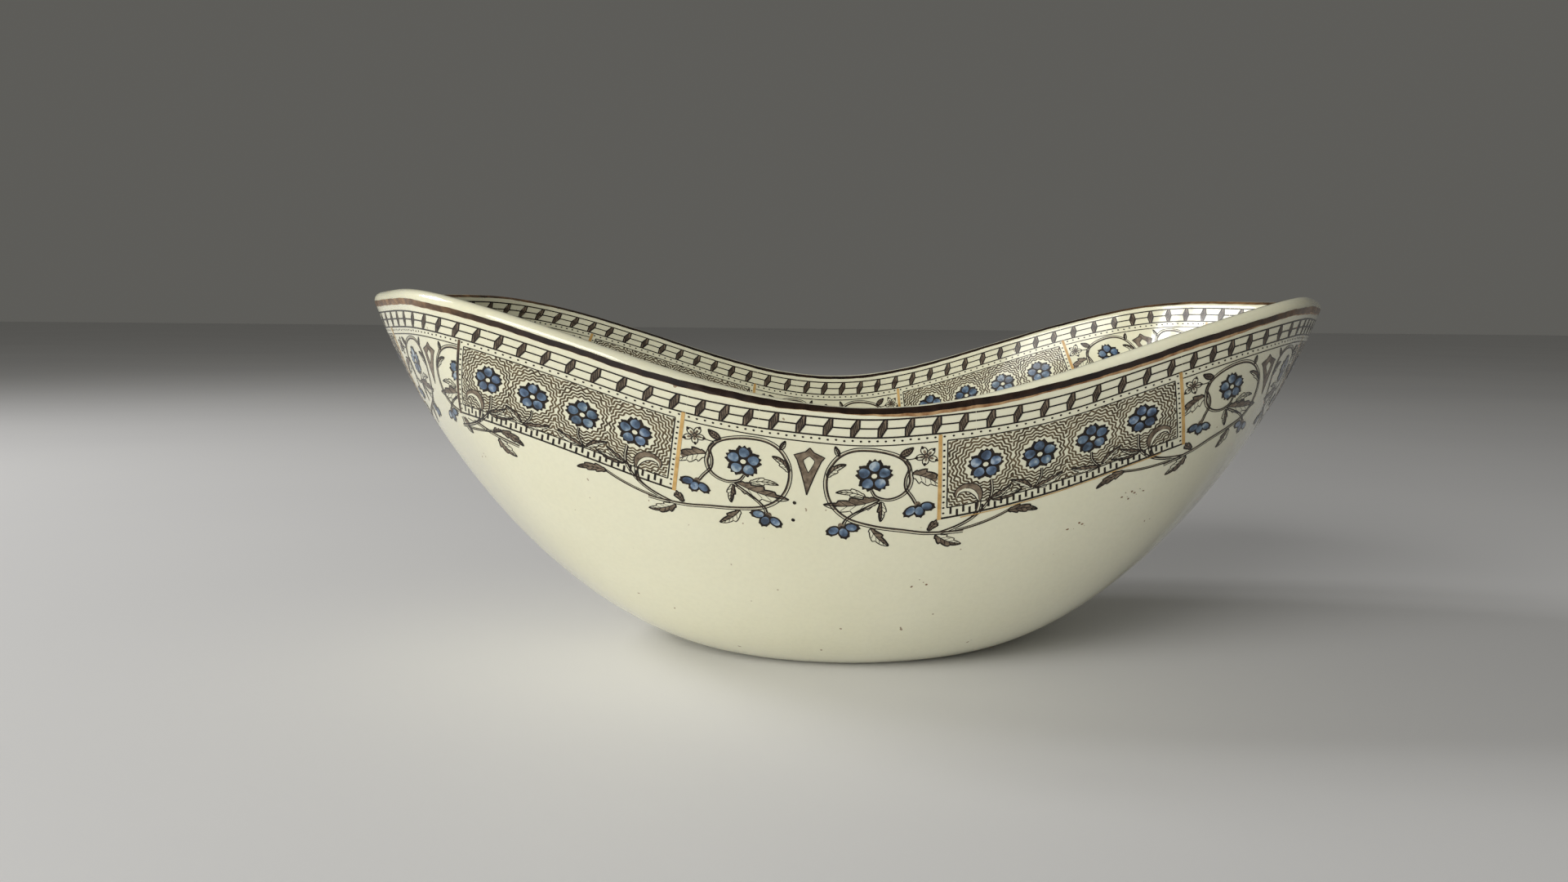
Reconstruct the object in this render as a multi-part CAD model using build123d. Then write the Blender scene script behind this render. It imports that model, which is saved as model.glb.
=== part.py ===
"""Oblong porcelain serving bowl: one moulded body and the decoration laid on it.

Millimetres, +Z up, +X along the bowl's length, origin at the middle of the foot.
The body is one closed skin: up the outside from the foot, over the rounded lip and
down the inside to the floor.  Each painted line and each printed transfer is a thin
solid that lies on the glaze.
"""
from build123d import *
import math
import os

# --- body -----------------------------------------------------------------
LENGTH = 250.0          # over the lip, end to end
WIDTH = 140.0           # over the lip, side to side
END_HEIGHT = 92.2       # top of the lip at the two ends
SIDE_HEIGHT = 68.0      # top of the lip at the middle of the long sides
WALL = 3.8              # thickness of the wall and of the floor
FOOT_LENGTH = 74.0      # oval that the bowl stands on
FOOT_WIDTH = 53.0
FOOT_RING = 5.0         # width of the ring round the sunk middle of the base
FOOT_SINK = 1.2         # depth of the sunk middle

# The plan is an ellipse filled out by three small waves round the rim.
PLAN_CORNERS = -0.064   # pushes the four corners out
PLAN_FLATS = 0.013      # flattens the stretches beside them
PLAN_ENDS = -0.037      # draws the ends in to a blunt point
# Two waves shape the dip of the rim between the high ends.
RIM_SHOULDER = -5.4
RIM_CREST = 1.0
# The wall follows one cubic from the foot to the lip: (run, rise) of its two handles.
LOW_HANDLE = (0.47, 0.07)
HIGH_HANDLE = (0.875, 0.64)

# --- decoration -------------------------------------------------------------
SKIN = 0.10             # thickness of a painted or printed layer
BOND = 0.03             # film between a layer and what it lies on
JOINT = 0.10            # gap between two layers laid side by side
RIM_LINE_WIDTH = 1.3
RIM_LINE_DROP = (0.1, 1.4)  # from the shoulder of the lip down to the line: sides, ends
BORDER_TOP = 3.6        # from the shoulder of the lip down to the printed border
BORDER_DEPTH = 26.0     # how far the printed border reaches down the wall
PANEL_LENGTH = 55.5     # fretwork panel with its four flowers
SCROLL_LENGTH = 28.2    # half of a pair of scrolls, from its lozenge to its panel
BORDER_COUNT = 6        # panels round the bowl, and pairs of scrolls between them
BAR_WIDTH = 0.9         # ochre bar at each end of a panel
BAR_TOP = 4.5           # from the border's top edge down to the bar
BAR_STOP = 1.5          # from the bar down to the border's bottom edge
OUTER_SHIFT = -12.4     # from the middle of the front to the lozenge that starts the border
INNER_SHIFT = 2.1       # the same inside, from the middle of the back
OUTER_CUTS = 2          # pairs of scrolls trimmed to close the ring outside
INNER_CUTS = 6          # and inside, where the ring is shorter

LOOP_POINTS = 48        # points of each closed curve that the body is skinned over
PATCH_COLUMN = 4.5      # widest spacing of a layer's points along the bowl
PATCH_ROW = 5.5         # and down the wall
BACK = math.pi / 2      # direction of the +Y side
FRONT = 3 * math.pi / 2


def plan_wave(phi):
    corners = PLAN_CORNERS * (math.cos(4 * phi) - 1) / 2
    flats = PLAN_FLATS * (math.cos(8 * phi) - 1) / 2
    ends = PLAN_ENDS * (math.cos(2 * phi) - math.cos(6 * phi)) / 2
    return 1 + corners + flats + ends


def rim_height(phi):
    mean = (END_HEIGHT + SIDE_HEIGHT) / 2 - WALL / 2
    swing = (END_HEIGHT - SIDE_HEIGHT) / 2
    shoulder = RIM_SHOULDER * (math.cos(4 * phi) - 1)
    crest = RIM_CREST * (math.cos(6 * phi) - math.cos(2 * phi))
    return mean + swing * math.cos(2 * phi) + shoulder + crest


def cubic(t, low, high):
    return 3 * (1 - t) ** 2 * t * low + 3 * (1 - t) * t ** 2 * high + t ** 3


def outer(phi, t):
    """Point on the outside, from the foot at t = 0 to the shoulder of the lip at t = 1."""
    run = cubic(t, LOW_HANDLE[0], HIGH_HANDLE[0])
    rise = cubic(t, LOW_HANDLE[1], HIGH_HANDLE[1])
    wave = plan_wave(phi)
    foot = Vector(FOOT_LENGTH / 2 * math.cos(phi), FOOT_WIDTH / 2 * math.sin(phi), 0)
    rim = Vector(LENGTH / 2 * math.cos(phi) * wave, WIDTH / 2 * math.sin(phi) * wave, 0)
    return foot + (rim - foot) * run + Vector(0, 0, rim_height(phi) * rise)


def directions(phi, t):
    """Unit vectors at a point of the outside: outward, and up the wall."""
    step = 0.001
    around = outer(phi + step, t) - outer(phi - step, t)
    up = outer(phi, t) - outer(phi, t - step)
    return around.cross(up).normalized(), up.normalized()


def inner(phi, t):
    outward, _ = directions(phi, t)
    return outer(phi, t) - outward * WALL


def lip(phi, angle):
    """Point on the round of the lip: 0 is its outer shoulder and pi its inner one."""
    outward, up = directions(phi, 1)
    middle = outer(phi, 1) - outward * (WALL / 2)
    return middle + (outward * math.cos(angle) + up * math.sin(angle)) * (WALL / 2)


def loop(point):
    angles = [2 * math.pi * i / LOOP_POINTS for i in range(LOOP_POINTS)]
    return Wire([Edge.make_spline([point(phi) for phi in angles], periodic=True)])


def flattened(point, height):
    return Vector(point.X, point.Y, height)


def make_body():
    wall_steps = [0.06, 0.13, 0.21, 0.30, 0.40, 0.50, 0.60, 0.70, 0.79, 0.86, 0.91, 0.945, 0.97, 0.988]
    loops = [loop(lambda phi: flattened(outer(phi, 0), 0))]
    loops += [loop(lambda phi, t=t: outer(phi, t)) for t in wall_steps]
    loops += [loop(lambda phi, a=a: lip(phi, a * math.pi / 6)) for a in range(7)]
    loops += [loop(lambda phi, t=t: inner(phi, t)) for t in reversed(wall_steps)]
    loops += [loop(lambda phi: flattened(inner(phi, 0), WALL))]
    body = Solid.make_loft(loops)
    sunk = Ellipse(FOOT_LENGTH / 2 - FOOT_RING, FOOT_WIDTH / 2 - FOOT_RING)
    return body - extrude(sunk, FOOT_SINK)


# --- places along the wall --------------------------------------------------
def wall_place(phi, depth, surface):
    """t on the wall at a distance down it from the shoulder of the lip."""
    t = 1.0
    step = 0.01
    gone = 0.0
    while gone < depth:
        stride = (surface(phi, t) - surface(phi, t - step)).length
        if gone + stride >= depth:
            return t - step * (depth - gone) / stride
        gone += stride
        t -= step
    return t


def arc_table(surface, start):
    """Running length round the border's top edge, and the direction at each length."""
    count = 720
    angles = [start + 2 * math.pi * i / count for i in range(count + 1)]
    points = [surface(phi, 0.95) for phi in angles]
    lengths = [0.0]
    for before, after in zip(points, points[1:]):
        lengths.append(lengths[-1] + (after - before).length)
    return lengths, angles


def direction_at(table, length):
    lengths, angles = table
    whole = lengths[-1]
    turns = math.floor(length / whole)
    rest = length - turns * whole
    for i in range(1, len(lengths)):
        if lengths[i] >= rest:
            share = (rest - lengths[i - 1]) / (lengths[i] - lengths[i - 1])
            return angles[i - 1] + share * (angles[i] - angles[i - 1]) + turns * 2 * math.pi
    return angles[-1]


def patch(surface, side, table, start, end, top, bottom, lift=BOND, drop=(0, 0)):
    """Thin solid on the wall between two lengths round it and two depths down it.

    side is 1 outside the bowl and -1 inside it; lift is its height over the glaze;
    drop lowers it by one amount at the sides of the bowl and by another at the ends.
    """
    columns = max(2, math.ceil((end - start) / PATCH_COLUMN))
    rows = max(2, math.ceil((bottom - top) / PATCH_ROW))
    grid = []
    for i in range(columns + 1):
        phi = direction_at(table, start + (end - start) * i / columns)
        line = []
        for j in range(rows + 1):
            lowered = drop[0] + (drop[1] - drop[0]) * math.cos(phi) ** 2
            t = wall_place(phi, lowered + top + (bottom - top) * j / rows, surface)
            outward, _ = directions(phi, t)
            line.append(surface(phi, t) + outward * side * lift)
        grid.append(line)
    face = Face.make_surface_from_array_of_points(grid)
    toward = outward * side
    depth = SKIN if face.normal_at().dot(toward) > 0 else -SKIN
    return Solid.thicken(face, depth)


def border_layout(whole, shift, cuts):
    """Start and end of each pair of scrolls and of each panel, round a ring of this length.

    The first pair is centred on the shift; the last ones, as many as cuts, are shortened.
    """
    full = 2 * SCROLL_LENGTH
    short = BORDER_COUNT * (full + PANEL_LENGTH) - whole
    lengths = [full - short / cuts * (i >= BORDER_COUNT - cuts) for i in range(BORDER_COUNT)]
    scrolls = []
    panels = []
    place = shift - lengths[0] / 2
    for length in lengths:
        end = place + length
        scrolls.append((place, end))
        panels.append((end, end + PANEL_LENGTH))
        place = end + PANEL_LENGTH
    return scrolls, panels


def make_rim_line(surface, side, table):
    """The line at the lip, painted in strokes that meet end to end."""
    count = 2 * BORDER_COUNT
    stroke = table[0][-1] / count
    return [
        patch(surface, side, table, i * stroke, (i + 1) * stroke - JOINT, 0, RIM_LINE_WIDTH,
              drop=RIM_LINE_DROP)
        for i in range(count)
    ]


def make_transfers(surface, side, table, pieces):
    bottom = BORDER_TOP + BORDER_DEPTH
    return [
        patch(surface, side, table, start, end - JOINT, BORDER_TOP, bottom)
        for start, end in pieces
    ]


def make_bars(surface, side, table, panels):
    """Ochre bars painted over the printed border, one at each end of each panel."""
    top = BORDER_TOP + BAR_TOP
    bottom = BORDER_TOP + BORDER_DEPTH - BAR_STOP
    lift = 2 * BOND + SKIN
    return [
        patch(surface, side, table, left, left + BAR_WIDTH, top, bottom, lift)
        for start, end in panels
        for left in (start + JOINT, end - BAR_WIDTH - 2 * JOINT)
    ]


def make_decoration(name, surface, side, start, shift, cuts):
    table = arc_table(surface, start)
    scrolls, panels = border_layout(table[0][-1], shift, cuts)
    save(f"{name}_rim_line", make_rim_line(surface, side, table))
    save(f"{name}_scroll_transfers", make_transfers(surface, side, table, scrolls))
    save(f"{name}_panel_transfers", make_transfers(surface, side, table, panels))
    save(f"{name}_ochre_bars", make_bars(surface, side, table, panels))


def save(name, solids):
    shape = solids[0] if len(solids) == 1 else Compound(children=solids)
    shape.label = name
    export_step(shape, f"parts/{name}.step")
    print(name, len(solids), round(sum(solid.volume for solid in solids), 1))


os.makedirs("parts", exist_ok=True)
save("bowl_body", [make_body()])
make_decoration("outer", outer, 1, FRONT, OUTER_SHIFT, OUTER_CUTS)
make_decoration("inner", inner, -1, BACK, INNER_SHIFT, INNER_CUTS)
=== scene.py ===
"""Looks of an oblong porcelain serving bowl with a printed and painted border.

The bowl is one smooth mesh over the CAD body.  Each colour of its decoration is a thin
open sheet of strokes just over the glaze, outside and inside.  Shapes are worked out in
millimetres, as the CAD part has them, and turned into metres when a mesh is made.
"""

import math

import bpy
import numpy as np
from mathutils import Matrix, Vector


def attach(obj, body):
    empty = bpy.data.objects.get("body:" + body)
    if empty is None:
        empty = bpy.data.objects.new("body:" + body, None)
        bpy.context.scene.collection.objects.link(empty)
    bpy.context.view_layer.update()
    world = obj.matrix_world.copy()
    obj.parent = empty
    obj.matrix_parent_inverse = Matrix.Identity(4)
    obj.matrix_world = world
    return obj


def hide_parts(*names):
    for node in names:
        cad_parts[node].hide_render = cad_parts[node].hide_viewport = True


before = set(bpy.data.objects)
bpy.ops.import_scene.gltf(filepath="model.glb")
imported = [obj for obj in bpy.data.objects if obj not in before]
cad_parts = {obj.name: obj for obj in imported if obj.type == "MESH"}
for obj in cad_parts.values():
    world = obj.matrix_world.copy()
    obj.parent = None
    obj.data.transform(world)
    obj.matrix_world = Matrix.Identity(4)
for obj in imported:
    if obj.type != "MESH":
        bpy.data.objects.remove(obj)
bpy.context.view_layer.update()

MM = 0.001              # metres in a millimetre

# --- the bowl's shape, as in the CAD part -------------------------------------
LENGTH = 250.0          # over the lip, end to end
WIDTH = 140.0           # over the lip, side to side
END_HEIGHT = 92.2       # top of the lip at the two ends
SIDE_HEIGHT = 68.0      # top of the lip at the middle of the long sides
WALL = 3.8
FOOT_LENGTH = 74.0
FOOT_WIDTH = 53.0
FOOT_RING = 5.0         # width of the ring round the sunk middle of the base
FOOT_SINK = 1.2
FOOT_ROUND = 0.5        # radius of the sunk middle's two edges
PLAN_CORNERS = -0.064   # three waves that fill out the plan's ellipse
PLAN_FLATS = 0.013
PLAN_ENDS = -0.037
RIM_SHOULDER = -5.4     # two waves that shape the dip of the rim
RIM_CREST = 1.0
LOW_HANDLE = (0.47, 0.07)       # run and rise of the wall's two handles
HIGH_HANDLE = (0.875, 0.64)
BACK = math.pi / 2      # direction of the +Y side
FRONT = 3 * math.pi / 2

# --- the decoration's layout ----------------------------------------------------
OUTER_SHIFT = -12.1     # from the middle of the front to the kite that starts the border
INNER_SHIFT = -2.1      # the same inside, from the middle of the back
OUTER_CUTS = 2          # pairs of scrolls trimmed to close the ring outside
INNER_CUTS = 6          # pairs squeezed to close it inside
PANEL_LENGTH = 56.3     # panel of wavy lines with four flowers
SCROLL_LENGTH = 27.3    # half of a pair of scrolls
BORDER_COUNT = 6        # panels round the bowl, and pairs of scrolls between them
TRIMMED_KITE = 0.70     # share of a trimmed pair of scrolls that lies before its kite
RING_DEPTH = 6.0        # depth at which the border's length round the bowl is measured
KEY_LINES = (0.15, 2.15, 4.2)   # depths of the three lines of the key band
KEY_PITCH = 6.15        # from one lozenge of the key band to the next
KEY_WIDTH = 1.85        # of a lozenge, along the band
KEY_INK = 0.36          # width of the band's outer lines
KEY_MIDDLE_INK = 0.34
DOT_DEPTH = 5.0         # row of dots under the key band
FRAME_TOP = 6.0         # thin line over the panels and scrolls
FRAME_BOTTOM = 22.9     # foot of the wavy ground
PANEL_BOTTOM = 25.6     # dark line that closes a panel
PANEL_MARGIN = 2.1      # from a panel's end to its frame
FRAME_INK = 0.28
VEIN_INK = 0.2          # middle vein of a leaf
VINE_INK = (0.3, 0.22)  # the two edges of a vine
FLOWER_ROW = FRAME_TOP + 7.2    # depth of a panel's two outer flowers
FLOWER_SPACING = 0.211          # from flower to flower, as a share of the panel
BAR_WIDTH = 0.8         # ochre bar at each end of a panel
BAR_PLACE = 0.5         # from the panel's end to the middle of its bar
COMB_PITCH = 1.35
COMB_INK = 0.48
COMB_GAP = 0.8          # what each tooth of the comb leaves open
COMB_START = 0.8        # from the frame to the first tooth
HANG = 2.7              # how much lower the outer border sits away from the middle of a side
HANG_SPAN = (8.0, 50.0)     # distances from the middle between which it comes down
INNER_DROP = 0.6        # how much lower the inner border sits all round
FAN = 0.0036            # how much the printed pieces widen for each millimetre down the wall

# Painted lines at the lip: depths and widths at the middle of a side and away from it.
OUTER_LINE = ((-1.8, 0.5), (1.6, 1.45))
INNER_LINE = ((-1.0, -1.2), (1.1, 1.1))
LINE_SPAN = (5, 60)     # distances from the middle between which the line changes
LINE_POINTS = 1300

# Height of each colour over the glaze.
GROUND_LIFT = 0.035
PAPER_LIFT = 0.045
WASH_LIFT = 0.055
INK_LIFT = 0.065
ENAMEL_LIFT = 0.08
DOT_LIFT = 0.095


# --- surface of the bowl ----------------------------------------------------------
def plan_wave(phi):
    corners = PLAN_CORNERS * (np.cos(4 * phi) - 1) / 2
    flats = PLAN_FLATS * (np.cos(8 * phi) - 1) / 2
    ends = PLAN_ENDS * (np.cos(2 * phi) - np.cos(6 * phi)) / 2
    return 1 + corners + flats + ends


def rim_height(phi):
    mean = (END_HEIGHT + SIDE_HEIGHT) / 2 - WALL / 2
    swing = (END_HEIGHT - SIDE_HEIGHT) / 2
    shoulder = RIM_SHOULDER * (np.cos(4 * phi) - 1)
    crest = RIM_CREST * (np.cos(6 * phi) - np.cos(2 * phi))
    return mean + swing * np.cos(2 * phi) + shoulder + crest


def cubic(t, low, high):
    return 3 * (1 - t) ** 2 * t * low + 3 * (1 - t) * t ** 2 * high + t ** 3


def outer(phi, t):
    """Points on the outside, from the foot at t = 0 to the shoulder of the lip at t = 1."""
    phi, t = np.broadcast_arrays(phi, t)
    run = cubic(t, LOW_HANDLE[0], HIGH_HANDLE[0])
    rise = cubic(t, LOW_HANDLE[1], HIGH_HANDLE[1])
    wave = plan_wave(phi)
    foot_x = FOOT_LENGTH / 2 * np.cos(phi)
    foot_y = FOOT_WIDTH / 2 * np.sin(phi)
    x = foot_x + (LENGTH / 2 * np.cos(phi) * wave - foot_x) * run
    y = foot_y + (WIDTH / 2 * np.sin(phi) * wave - foot_y) * run
    return np.stack([x, y, rim_height(phi) * rise], -1)


def unit(vectors):
    return vectors / np.linalg.norm(vectors, axis=-1, keepdims=True)


def directions(phi, t):
    """Unit vectors on the outside: outward, and up the wall."""
    step = 0.001
    around = outer(phi + step, t) - outer(phi - step, t)
    up = outer(phi, t) - outer(phi, t - step)
    return unit(np.cross(around, up)), unit(up)


def inner(phi, t):
    outward, _ = directions(phi, t)
    return outer(phi, t) - outward * WALL


def lip(phi, angle):
    """Points on the round of the lip and their normals: 0 is its outer shoulder, pi its inner one."""
    phi, angle = np.broadcast_arrays(phi, angle)
    outward, up = directions(phi, np.ones_like(phi))
    normal = outward * np.cos(angle)[..., None] + up * np.sin(angle)[..., None]
    middle = outer(phi, np.ones_like(phi)) - outward * (WALL / 2)
    return middle + normal * (WALL / 2), normal


# --- flat map of one side of the wall -----------------------------------------------
class Chart:
    """Flat map of the wall: u runs to the viewer's right round the bowl, v down from the lip.

    Both are millimetres along the surface.  Rows fan out slightly along the long sides,
    and are drawn in beyond SLACK_SPAN, round the ends, so that every row closes.
    """

    COLUMNS = 1440      # samples round the bowl
    STEP = 0.5
    TOP = -4.5
    BOTTOM = 46.0
    SLACK_SPAN = (95.0, 125.0)

    def __init__(self, side, middle):
        self.side = side
        phi = middle + side * np.linspace(0, 2 * math.pi, self.COLUMNS + 1)
        depths = np.arange(self.TOP, self.BOTTOM + self.STEP, self.STEP)
        points, normals = self.sample(phi, depths)
        strides = np.linalg.norm(np.diff(points, axis=0), axis=-1)
        lengths = np.concatenate([np.zeros((1, len(depths))), np.cumsum(strides, axis=0)])
        whole = lengths[-1]
        self.length = float(np.interp(RING_DEPTH, depths, whole))
        count = int(self.length / self.STEP)
        u = np.linspace(0, self.length, count + 1)
        slack = self.slack(u)
        gathered = np.concatenate([[0], np.cumsum((slack[1:] + slack[:-1]) / 2 * np.diff(u))])
        self.u_step = u[1]
        self.points = np.empty((count + 1, len(depths), 3))
        self.normals = np.empty_like(self.points)
        for j in range(len(depths)):
            fan = 1 + FAN * (depths[j] - RING_DEPTH)
            taken = (whole[j] - fan * (self.length - gathered[-1])) / gathered[-1]
            target = fan * (u - gathered) + taken * gathered
            for k in range(3):
                self.points[:, j, k] = np.interp(target, lengths[:, j], points[:, j, k])
                self.normals[:, j, k] = np.interp(target, lengths[:, j], normals[:, j, k])

    def sample(self, phi, depths):
        """Points at each depth down the wall, or up over the lip, and their normals."""
        surface = outer if self.side > 0 else inner
        heights = np.linspace(1, 0.02, 240)
        wall = surface(phi[:, None], heights[None, :])
        strides = np.linalg.norm(np.diff(wall, axis=1), axis=-1)
        gone = np.concatenate([np.zeros((len(phi), 1)), np.cumsum(strides, axis=1)], axis=1)
        below = depths[depths >= 0]
        t = np.array([np.interp(below, row, heights) for row in gone])
        outward, _ = directions(phi[:, None], t)
        shoulder = 0 if self.side > 0 else math.pi
        over = shoulder - self.side * depths[depths < 0] / (WALL / 2)
        lip_points, lip_normals = lip(phi[:, None], over[None, :])
        points = np.concatenate([lip_points, surface(phi[:, None], t)], axis=1)
        return points, np.concatenate([lip_normals, outward * self.side], axis=1)

    def slack(self, u):
        """Share of a row's change of length that is taken up at u, 0 at the long sides."""
        quarter = self.length / 4
        from_side = quarter - np.abs(np.mod(u, self.length / 2) - quarter)
        low, high = self.SLACK_SPAN
        x = np.clip((from_side - low) / (high - low), 0, 1)
        return x * x * (3 - 2 * x)

    def place(self, flat, lift):
        """Points over the glaze for rows of (u, v), and the surface's normals there."""
        count = len(self.points) - 1
        a = np.mod(flat[:, 0], self.length) / self.u_step
        b = np.clip((flat[:, 1] - self.TOP) / self.STEP, 0, self.points.shape[1] - 1.001)
        i = np.clip(a.astype(int), 0, count - 1)
        j = b.astype(int)
        x = (a - i)[:, None]
        y = (b - j)[:, None]
        blends = []
        for table in (self.points, self.normals):
            near = table[i, j] * (1 - x) + table[i + 1, j] * x
            far = table[i, j + 1] * (1 - x) + table[i + 1, j + 1] * x
            blends.append(near * (1 - y) + far * y)
        return blends[0] + blends[1] * lift, blends[1]


# --- curves --------------------------------------------------------------------------
def along(points, step=1.0):
    """Straight runs through the points, cut into pieces no longer than step."""
    points = np.asarray(points, float)
    runs = []
    for a, b in zip(points[:-1], points[1:]):
        count = max(1, math.ceil(np.linalg.norm(b - a) / step))
        runs.append(a + (b - a) * np.linspace(0, 1, count, endpoint=False)[:, None])
    return np.vstack([*runs, points[-1:]])


def spline(points, step=0.5):
    """Smooth curve through the points."""
    p = np.asarray(points, float)
    p = np.vstack([2 * p[0] - p[1], p, 2 * p[-1] - p[-2]])
    runs = []
    for a, b, c, d in zip(p[:-3], p[1:-2], p[2:-1], p[3:]):
        count = max(2, math.ceil(np.linalg.norm(c - b) / step))
        t = np.linspace(0, 1, count, endpoint=False)[:, None]
        runs.append(0.5 * (2 * b + (c - a) * t + (2 * a - 5 * b + 4 * c - d) * t ** 2
                           + (3 * b - a - 3 * c + d) * t ** 3))
    return np.vstack([*runs, p[-2:-1]])


def sideways(points, closed=False):
    """Unit vectors across a curve, towards the right of its run with v pointing down."""
    if closed:
        run = np.roll(points, -1, axis=0) - np.roll(points, 1, axis=0)
    else:
        run = np.gradient(points, axis=0)
    run = run / np.maximum(np.linalg.norm(run, axis=1, keepdims=True), 1e-9)
    return np.stack([-run[:, 1], run[:, 0]], axis=1)


def heading(angle):
    return np.array([math.cos(angle), math.sin(angle)])


def triangle_wave(x):
    """Zigzag between -1 and 1 with period 1."""
    return 4 * np.abs(np.mod(x, 1) - 0.5) - 1


# --- sheets of strokes ---------------------------------------------------------------
class Pen:
    """Draws on one chart, in several colours, through a frame that can shift and mirror."""

    KINDS = ("ground", "paper", "wash", "ink", "blue", "ochre", "rim", "worn", "stain", "pistil")

    def __init__(self, chart):
        self.chart = chart
        self.flats = {kind: [] for kind in self.KINDS}
        self.faces = {kind: [] for kind in self.KINDS}
        self.counts = dict.fromkeys(self.KINDS, 0)
        self.hanging = True
        self.at(0.0)

    def at(self, origin, mirror=1, stretch=1.0, limit=math.inf):
        """Moves the frame; strokes beyond limit are trimmed off, except below the border."""
        self.origin = origin
        self.scale = mirror * stretch
        self.limit = limit
        return self

    def from_side(self, u, span):
        """0 near the middle of a long side, rising to 1 over the span of distances from it."""
        half = self.chart.length / 2
        away = np.abs(np.mod(u + half / 2, half) - half / 2)
        x = np.clip((away - span[0]) / (span[1] - span[0]), 0, 1)
        return x * x * (3 - 2 * x)

    def hang(self, u):
        """How far the border sits down the wall at u."""
        return HANG * self.from_side(u, HANG_SPAN) if self.chart.side > 0 else INNER_DROP

    def strip(self, kind, left, right, rows=1, closed=False):
        """Fills between two curves of equally many points."""
        shares = np.linspace(0, 1, rows + 1)[:, None, None]
        grid = left[None] * (1 - shares) + right[None] * shares
        kept = (grid[..., 0].ravel() < self.limit) | (grid[..., 1].ravel() > PANEL_BOTTOM + 1)
        flat = grid.reshape(-1, 2) * (self.scale, 1) + (self.origin, 0)
        if self.hanging:
            flat[:, 1] += self.hang(flat[:, 0])
        n = len(left)
        index = np.arange((rows + 1) * n).reshape(rows + 1, n)
        if closed:
            index = np.concatenate([index, index[:, :1]], axis=1)
        quads = np.stack([index[:-1, :-1], index[1:, :-1], index[1:, 1:], index[:-1, 1:]], -1)
        quads = quads.reshape(-1, 4)
        self.faces[kind].append(quads[kept[quads].all(axis=1)] + self.counts[kind])
        self.flats[kind].append(flat)
        self.counts[kind] += len(flat)

    def stroke(self, kind, points, width, closed=False, rows=1):
        points = np.asarray(points, float)
        across = sideways(points, closed) * (np.asarray(width) / 2).reshape(-1, 1)
        self.strip(kind, points - across, points + across, rows, closed)

    def line(self, kind, points, width):
        """Straight strokes with crisp corners."""
        for a, b in zip(points[:-1], points[1:]):
            self.stroke(kind, along([a, b]), width)

    def blob(self, kind, middle, size, turn=0.0, edge=None, points=16):
        """Rounded spot; size is its half length and half width, edge scales its outline."""
        angles = np.linspace(0, 2 * math.pi, points, endpoint=False)
        reach = np.ones(points) if edge is None else edge(angles)
        x = np.cos(angles) * size[0] * reach
        y = np.sin(angles) * size[1] * reach
        rim = np.stack([x * math.cos(turn) - y * math.sin(turn),
                        x * math.sin(turn) + y * math.cos(turn)], axis=1)
        middle = np.asarray(middle, float)
        self.strip(kind, middle + rim * 0.04, middle + rim, rows=2, closed=True)

    def make(self, kind, name, lift, material, slot, *nodes):
        """Turns the strokes of one kind into an open sheet that rides on the bowl."""
        flat = np.vstack(self.flats[kind])
        faces = np.vstack(self.faces[kind])
        points, normals = self.chart.place(flat, lift)
        corner = points[faces]
        facing = np.cross(corner[:, 2] - corner[:, 0], corner[:, 3] - corner[:, 1])
        wrong = (facing * normals[faces[:, 0]]).sum(axis=1) < 0
        faces[wrong] = faces[wrong][:, ::-1]
        piece = new_piece(name, points, faces, material)
        if nodes:
            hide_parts(*nodes)


def new_piece(name, points, faces, material):
    mesh = bpy.data.meshes.new(name)
    mesh.from_pydata((points * MM).tolist(), [], [tuple(face) for face in faces])
    mesh.materials.append(material)
    mesh.shade_smooth()
    piece = bpy.data.objects.new(name, mesh)
    bpy.context.scene.collection.objects.link(piece)
    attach(piece, "root")
    return piece


# --- ornament ------------------------------------------------------------------------
def key_band(pen, start, end, first, pitch):
    """Box frieze: three lines, crossed by dark slanted lozenges, over a row of dots."""
    top, middle, bottom = KEY_LINES
    pen.line("ink", [(start, top), (end, top)], KEY_INK)
    pen.line("ink", [(start, bottom), (end, bottom)], KEY_INK)
    low = first - pitch + KEY_WIDTH
    for left in np.arange(first, end - KEY_WIDTH * 0.6, pitch):
        box = lozenge(left)
        upper = np.array([box[0], box[1], box[2]])
        lower = np.array([box[5], box[4], box[3]])
        pen.strip("wash", along(upper, 5), along(lower, 5), rows=2)
        pen.line("ink", [*box, box[0]], KEY_INK)
        for share in (0.2, 0.4, 0.6, 0.8):
            a = upper[0] + (upper[1] - upper[0]) * share
            b = lower[1] + (lower[2] - lower[1]) * (share - 0.1)
            pen.line("ink", [a, b], 0.2)
        pen.line("ink", [(max(low, start), middle), (left, middle)], KEY_MIDDLE_INK)
        low = left + KEY_WIDTH
    if low < end:
        pen.line("ink", [(low, middle), (end, middle)], KEY_MIDDLE_INK)


def lozenge(left):
    """Corners of one slanted box of the key band, from its left edge round over the top."""
    top, middle, bottom = KEY_LINES
    right = left + KEY_WIDTH
    slant = KEY_WIDTH * 0.7
    return [(left, middle), (left + slant, top), (right, top),
            (right, middle), (right - slant, bottom), (left, bottom)]


def dots(pen, start, end, pitch, row):
    """Row of dots at nearly the given pitch, a little uneven in depth."""
    count = max(2, round((end - start) / pitch))
    for k in range(count + 1):
        x = start + (end - start) * k / count
        pen.blob("ink", (x, row + 0.08 * math.sin(9 * k)), (0.29, 0.25), points=6)


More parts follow.
